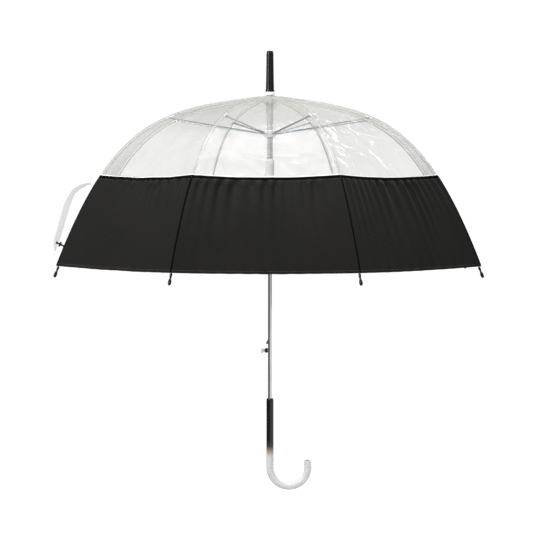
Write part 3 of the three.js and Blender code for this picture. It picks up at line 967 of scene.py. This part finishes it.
def button():
    """The block round the button, and the button with its neck and stem."""

    def around(half_y, half_z, x_low, x_high):
        """Corners of a box about the button's axis."""
        return (x_low, -half_y, BUTTON_Z - half_z), (x_high, half_y, BUTTON_Z + half_z)

    low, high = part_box("button_housing")
    body = box_object("button_block", low, high, BLACK)
    passage = around(2.1 * MM, 2.6 * MM, low.x - MM, high.x + MM)
    cut(body, box_object("cutter", *passage, BLACK))
    finish_piece(body, "pole", "button_housing", bevel=1.0)

    inner = BUTTON_LOW.x + 4 * MM
    sides = 40
    profile = [
        (0.01, 0), (4.7, 0), (5.1, 0.3), (5.2, 0.8), (5.2, 2.1), (4.9, 2.8), (4.2, 3.4), (3.0, 3.8),
        (0.01, 4.0),
    ]
    verts = [(inner - d * MM, a, BUTTON_Z + b) for r, d in profile for a, b in circle(r * MM, sides)]
    cap = new_object("cap", verts, grid_faces(len(profile), sides, around=True), BUTTON)
    stem = box_object("stem", *around(1.5 * MM, 2 * MM, inner - MM, BUTTON_HIGH.x), BUTTON)
    neck = box_object("neck", *around(1.9 * MM, 2.4 * MM, inner - MM, inner + 5.2 * MM), BUTTON)
    for piece in (stem, neck):
        bevelled(piece, 0.3 * MM)
        apply_modifiers(piece)
    obj = join("button_cap", cap, stem, neck)
    finish_piece(obj, "button", "release_button", bevel=0)


# Tie strap ----------------------------------------------------------------------------------------


def tie_strap():
    """The film strap that wraps the closed umbrella: it stands off the band in a loop."""
    route = np.array(STRAP_ROUTE) * MM
    fine = np.linspace(0, 1, 90)
    knots = np.linspace(0, 1, len(route))
    curve = np.stack([smooth(fine, knots, route[:, k]) for k in (0, 1)], 1)
    along = np.gradient(curve, axis=0)
    along /= np.linalg.norm(along, axis=1)[:, None]
    out = np.stack([-along[:, 1], along[:, 0]], 1)
    half = STRAP_WIDTH / 2 * np.interp(fine, [0, 0.04, 0.72, 0.8, 0.9, 1], [1, 1, 1, 0.72, 1, 1.05])
    twist = np.interp(fine, [0, 0.12, 0.35, 0.6, 0.76, 0.88, 1], [0, 0.45, 0.95, 0.9, 0.4, -0.4, -0.7])
    offsets = np.linspace(-1, 1, 11)
    lean = offsets * (half * np.sin(twist))[:, None] + STRAP_CURL * offsets**2
    sideways = STRAP_OFFSET + offsets * (half * np.cos(twist))[:, None]
    points = np.stack([curve[:, :1] + out[:, :1] * lean, sideways, curve[:, 1:] + out[:, 1:] * lean], -1)
    length = float(np.linalg.norm(np.diff(curve, axis=0), axis=1).sum())
    uv = np.stack(np.broadcast_arrays((offsets * STRAP_WIDTH / 2)[None, :], (fine * length)[:, None]), -1)
    faces = grid_faces(len(fine), len(offsets))
    obj = new_object("strap", points.reshape(-1, 3), faces, STRAP_FILM, uv.reshape(-1, 2))
    turn_to_rib(obj, rib_angle(STRAP_RIB))
    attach(obj, f"rib_end_{STRAP_RIB + 1}")
    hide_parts("tie_strap")


def strap_snap():
    """The snap between the strap and the band, on a short post each way."""
    low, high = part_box("strap_snap")
    centre = (np.array(low) + np.array(high)) / 2
    angle = rib_angle(STRAP_RIB)
    axis = np.array([math.cos(angle) * 0.9, math.sin(angle) * 0.9, 0.44])
    axis /= np.linalg.norm(axis)
    side = np.array([-math.sin(angle), math.cos(angle), 0.0])
    up = np.cross(axis, side)
    profile = [
        (0.01, -8.4), (2.4, -8.4), (2.6, -7.8), (1.6, -7.0), (1.6, -1.5), (4.6, -1.5), (5.0, -1.1),
        (5.0, 0.3), (4.6, 0.7), (3.4, 0.9), (3.1, 1.2), (1.6, 1.5), (1.5, 6.0), (2.8, 6.2), (3.0, 6.8),
        (2.6, 7.4), (0.01, 7.6),
    ]
    sides = 36
    verts = [
        centre + axis * d * MM + a * side + b * up
        for r, d in profile for a, b in circle(r * MM, sides)
    ]
    snap = new_object("snap", verts, grid_faces(len(profile), sides, around=True), BLACK)
    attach(snap, f"rib_end_{STRAP_RIB + 1}")
    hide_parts("strap_snap")


def smooth(x, knots, values):
    """A cubic curve through the knots, with slopes from their neighbours."""
    slopes = np.gradient(values, knots)
    k = np.clip(np.searchsorted(knots, x, side="right") - 1, 0, len(knots) - 2)
    step = knots[k + 1] - knots[k]
    u = (x - knots[k]) / step
    return (
        (2 * u**3 - 3 * u**2 + 1) * values[k]
        + (u**3 - 2 * u**2 + u) * step * slopes[k]
        + (-2 * u**3 + 3 * u**2) * values[k + 1]
        + (u**3 - u**2) * step * slopes[k + 1]
    )


# Camera, light and floor --------------------------------------------------------------------------


def camera():
    data = bpy.data.cameras.new("camera")
    data.lens = LENS
    data.sensor_width = 36
    data.clip_end = 100
    cam = bpy.data.objects.new("camera", data)
    bpy.context.scene.collection.objects.link(cam)
    ahead, aside = CAMERA_DISTANCE * math.cos(CAMERA_SWING), CAMERA_DISTANCE * math.sin(CAMERA_SWING)
    cam.location = (CAMERA_TARGET.x + aside, -ahead, CAMERA_HEIGHT)
    cam.rotation_mode = "QUATERNION"
    cam.rotation_quaternion = (CAMERA_TARGET - cam.location).to_track_quat("-Z", "Y")
    bpy.context.scene.camera = cam


def area_light(name, place, target, size, power):
    data = bpy.data.lights.new(name, "AREA")
    data.shape = "RECTANGLE"
    data.size, data.size_y = size
    data.energy = power
    light = bpy.data.objects.new(name, data)
    bpy.context.scene.collection.objects.link(light)
    light.location = place
    light.rotation_mode = "QUATERNION"
    light.rotation_quaternion = (Vector(target) - Vector(place)).to_track_quat("-Z", "Y")


def world_light():
    """A white studio whose left side is dark, so that bright metal has an edge to reflect."""
    world = bpy.data.worlds.new("studio")
    bpy.context.scene.world = world
    world.use_nodes = True
    tree = world.node_tree
    background = tree.nodes["Background"]
    background.inputs["Strength"].default_value = 1.0
    coordinates = tree.nodes.new("ShaderNodeTexCoord")
    split = tree.nodes.new("ShaderNodeSeparateXYZ")
    tree.links.new(coordinates.outputs["Generated"], split.inputs["Vector"])
    spread = tree.nodes.new("ShaderNodeMapRange")
    spread.inputs["From Min"].default_value = -1
    tree.links.new(split.outputs["X"], spread.inputs["Value"])
    ramp = tree.nodes.new("ShaderNodeValToRGB")
    tree.links.new(spread.outputs["Result"], ramp.inputs["Fac"])
    levels = [
        (0.0, 0.35), (0.05, 0.06), (0.38, 0.06), (0.45, 0.75), (0.5, 0.9), (0.62, 0.8), (0.8, 0.6),
        (0.9, 0.35), (1.0, 0.25),
    ]
    fill_ramp(ramp, [(place, (level,) * 3) for place, level in levels])
    path = tree.nodes.new("ShaderNodeLightPath")
    mix = tree.nodes.new("ShaderNodeMix")
    mix.data_type = "RGBA"
    first, second = [s for s in mix.inputs if s.type == "RGBA"]
    tree.links.new(path.outputs["Is Camera Ray"], mix.inputs[0])
    tree.links.new(ramp.outputs["Color"], first)
    second.default_value = (1, 1, 1, 1)
    mixed = [s for s in mix.outputs if s.type == "RGBA"][0]
    tree.links.new(mixed, background.inputs["Color"])


def floor():
    """A pale floor that curves up behind the umbrella, and can be seen through from below."""
    m = Material("floor", Roughness=0.9)
    mottle = m.spread(m.noise(m.coordinates(), 3.0), 0, 1)
    m.to(m.mix(mottle, (0.05, 0.05, 0.05), (0.06, 0.06, 0.06)), "Base Color")
    m.shader.inputs["Emission Color"].default_value = (1, 1, 1, 1)
    split = m.node("ShaderNodeSeparateXYZ")
    m.link(m.coordinates(), split.inputs["Vector"])
    bounced = m.spread(split.outputs["X"], 0.12, 0.9, -0.8, 0.8)
    glow = m.node("ShaderNodeMix", data_type="FLOAT")
    m.link(m.node("ShaderNodeLightPath").outputs["Is Camera Ray"], glow.inputs[0])
    m.link(bounced, glow.inputs["A"])
    glow.inputs["B"].default_value = 0.97
    m.to(glow.outputs["Result"], "Emission Strength")
    see_through = m.node("ShaderNodeMixShader")
    m.link(m.node("ShaderNodeNewGeometry").outputs["Backfacing"], see_through.inputs["Fac"])
    m.link(m.shader.outputs["BSDF"], see_through.inputs[1])
    m.link(m.node("ShaderNodeBsdfTransparent").outputs["BSDF"], see_through.inputs[2])
    m.link(see_through.outputs["Shader"], m.tree.nodes["Material Output"].inputs["Surface"])
    floor_z = cad_low.z - 0.35
    front, back, bend, top, reach = -6.0, 2.2, 1.2, 5.0, 9.0
    outline = [(front, floor_z)]
    for a in np.linspace(0, math.pi / 2, 24):
        outline.append((back + bend * math.sin(a), floor_z + bend * (1 - math.cos(a))))
    outline.append((back + bend, top))
    verts = [(x, y, z) for y, z in outline for x in (-reach, reach)]
    new_object("floor", verts, grid_faces(len(outline), 2), m.material)


def studio():
    bpy.context.scene.view_settings.view_transform = "Standard"
    world_light()
    area_light("key", (-2.6, -1.6, 1.7), (0, 0, 0.4), (0.9, 1.4), 75)
    area_light("top", (-0.1, -0.4, 3.0), (0, 0, 0.5), (1.5, 1.2), 90)
    area_light("back", (1.2, 2.0, 1.6), (0, 0, 0.5), (0.8, 0.8), 14)
    floor()


# Build --------------------------------------------------------------------------------------------

camera()
studio()
shaft()
handle()
ferrule()
crown()
runner()
catch()
button()
for rib in range(RIBS):
    upper, lower = f"rib_{rib + 1}", f"rib_end_{rib + 1}"
    rib_rod(rib)
    rib_tip(rib)
    rib_joint(rib)
    stretcher(rib)
    for side in (1, -1):
        film_halves(rib, side)
        band_half(rib, side)
        edge_strip("film_hem", rib, side, HEM_SPAN, 0.2 * MM, FILM_HEM, upper)
        edge_strip("band_binding", rib, side, BINDING_SPAN, 0.9 * MM, SEAM_FABRIC, lower)
        stitches(rib, side)
    strip_along_rib("film_weld", rib, WELD_SPAN, 5 * MM, 0.3 * MM, FILM_TAPE, upper)
    strip_along_rib("weld_ridge", rib, RIDGE_SPAN, 0.55 * MM, 0.4 * MM, WELD, upper,
                    bead=0.5 * MM)
    strip_along_rib("band_seam", rib, SEAM_SPAN, 1.35 * MM, 0.8 * MM, SEAM_FABRIC, lower,
                    bead=0.6 * MM)
tie_strap()
strap_snap()
